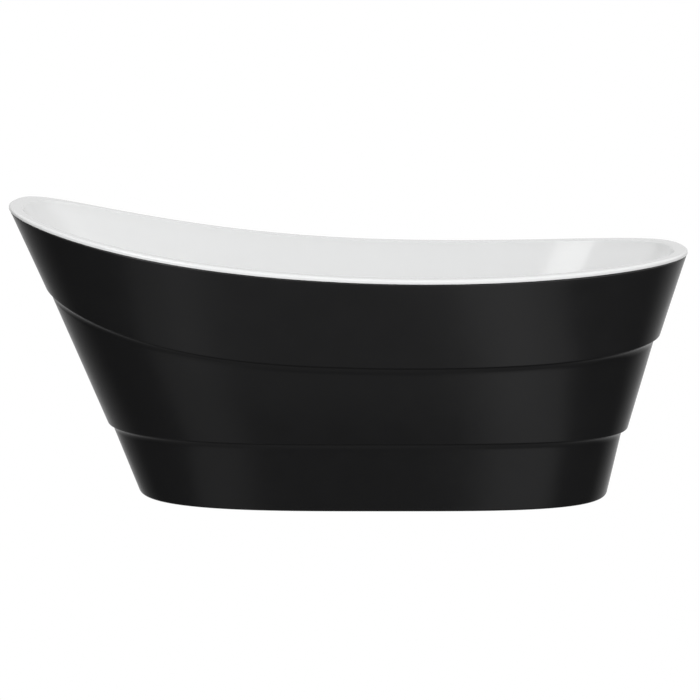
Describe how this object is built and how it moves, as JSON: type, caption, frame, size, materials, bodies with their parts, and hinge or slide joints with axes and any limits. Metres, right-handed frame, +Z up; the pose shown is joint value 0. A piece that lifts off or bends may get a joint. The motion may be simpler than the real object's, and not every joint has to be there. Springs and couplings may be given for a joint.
{
  "type": "freestanding bathtub",
  "caption": "Freestanding slipper bathtub with a raised head end, a stepped three-tier outer skirt, a rolled rim, levelling feet, click waste and overflow.",
  "frame": {"origin": "on the floor, under the centre of the rim's outline", "axes": "+X towards the low foot end with the drain, +Y to the back long side, +Z up"},
  "size_m": [1.7, 0.8, 0.735],
  "materials": {
    "white_acrylic": "gloss white sanitary acrylic",
    "black_acrylic": "satin black acrylic",
    "adhesive": "cured resin adhesive",
    "plywood": "raw plywood",
    "galvanised_steel": "galvanised",
    "zinc_steel": "zinc plated",
    "black_plastic": "moulded, matte",
    "grey_plastic": "moulded, matte",
    "chrome": "polished chrome plate",
    "black_rubber": "soft rubber"
  },
  "bodies": {
    "tub": {"basin": "white_acrylic", "outer_skirt": "black_acrylic", "rim_bond": "adhesive", "floor_board": "plywood", "frame_rail_front": "galvanised_steel", "frame_rail_back": "galvanised_steel", "crossbar_head": "galvanised_steel", "crossbar_middle": "galvanised_steel", "crossbar_foot": "galvanised_steel", "drain_flange": "chrome", "overflow_cover": "chrome", "overflow_screw": "chrome", "tailpiece": "chrome", "stopper_cartridge": "black_plastic", "drain_seal": "black_rubber", "drain_gasket": "black_rubber", "overflow_gasket": "black_rubber", "drain_back_nut": "black_plastic", "waste_tee": "black_plastic", "tailpiece_nut": "black_plastic", "overflow_body": "black_plastic", "hose_nut_upper": "black_plastic", "hose_nut_lower": "black_plastic", "overflow_hose": "grey_plastic", "frame_screw_front_head": "zinc_steel", "frame_screw_front_foot": "zinc_steel", "frame_screw_back_head": "zinc_steel", "frame_screw_back_foot": "zinc_steel", "weld_nut_head_front": "zinc_steel", "lock_nut_head_front": "zinc_steel", "weld_nut_head_back": "zinc_steel", "lock_nut_head_back": "zinc_steel", "weld_nut_foot_front": "zinc_steel", "lock_nut_foot_front": "zinc_steel", "weld_nut_foot_back": "zinc_steel", "lock_nut_foot_back": "zinc_steel", "weld_nut_middle": "zinc_steel", "lock_nut_middle": "zinc_steel"},
    "stopper": {"stopper_cap": "chrome", "stopper_seal": "black_rubber", "stopper_stem": "zinc_steel"},
    "pad_head_front": {"foot_pad_head_front": "black_plastic"},
    "stud_head_front": {"levelling_stud_head_front": "zinc_steel"},
    "pad_head_back": {"foot_pad_head_back": "black_plastic"},
    "stud_head_back": {"levelling_stud_head_back": "zinc_steel"},
    "pad_foot_front": {"foot_pad_foot_front": "black_plastic"},
    "stud_foot_front": {"levelling_stud_foot_front": "zinc_steel"},
    "pad_foot_back": {"foot_pad_foot_back": "black_plastic"},
    "stud_foot_back": {"levelling_stud_foot_back": "zinc_steel"},
    "pad_middle": {"foot_pad_middle": "black_plastic"},
    "stud_middle": {"levelling_stud_middle": "zinc_steel"}
  },
  "joints": [
    {"name": "stopper_lift", "type": "slide", "parent": "tub", "child": "stopper", "axis": [0, 0, 1], "range_m": [0, 0.01]},
    {"name": "foot_head_front_reach", "type": "slide", "parent": "tub", "child": "pad_head_front", "axis": [0, 0, -1], "range_m": [-0.0105, 0.01925]},
    {"name": "stud_head_front_turn", "type": "hinge", "parent": "pad_head_front", "child": "stud_head_front", "pos_m": [-0.28, -0.195, 0.05], "axis": [0, 0, -1], "range_deg": [-2161, 3961]},
    {"name": "foot_head_back_reach", "type": "slide", "parent": "tub", "child": "pad_head_back", "axis": [0, 0, -1], "range_m": [-0.0105, 0.01925]},
    {"name": "stud_head_back_turn", "type": "hinge", "parent": "pad_head_back", "child": "stud_head_back", "pos_m": [-0.28, 0.195, 0.05], "axis": [0, 0, -1], "range_deg": [-2161, 3961]},
    {"name": "foot_foot_front_reach", "type": "slide", "parent": "tub", "child": "pad_foot_front", "axis": [0, 0, -1], "range_m": [-0.0105, 0.01925]},
    {"name": "stud_foot_front_turn", "type": "hinge", "parent": "pad_foot_front", "child": "stud_foot_front", "pos_m": [0.295, -0.195, 0.05], "axis": [0, 0, -1], "range_deg": [-2161, 3961]},
    {"name": "foot_foot_back_reach", "type": "slide", "parent": "tub", "child": "pad_foot_back", "axis": [0, 0, -1], "range_m": [-0.0105, 0.01925]},
    {"name": "stud_foot_back_turn", "type": "hinge", "parent": "pad_foot_back", "child": "stud_foot_back", "pos_m": [0.295, 0.195, 0.05], "axis": [0, 0, -1], "range_deg": [-2161, 3961]},
    {"name": "foot_middle_reach", "type": "slide", "parent": "tub", "child": "pad_middle", "axis": [0, 0, -1], "range_m": [-0.0105, 0.01925]},
    {"name": "stud_middle_turn", "type": "hinge", "parent": "pad_middle", "child": "stud_middle", "pos_m": [0.0125, 0, 0.05], "axis": [0, 0, -1], "range_deg": [-2161, 3961]}
  ],
  "couplings": [
    {"joint": "stud_head_front_turn", "follows": "foot_head_front_reach", "rad_per_m": 3590.4},
    {"joint": "stud_head_back_turn", "follows": "foot_head_back_reach", "rad_per_m": 3590.4},
    {"joint": "stud_foot_front_turn", "follows": "foot_foot_front_reach", "rad_per_m": 3590.4},
    {"joint": "stud_foot_back_turn", "follows": "foot_foot_back_reach", "rad_per_m": 3590.4},
    {"joint": "stud_middle_turn", "follows": "foot_middle_reach", "rad_per_m": 3590.4}
  ]
}
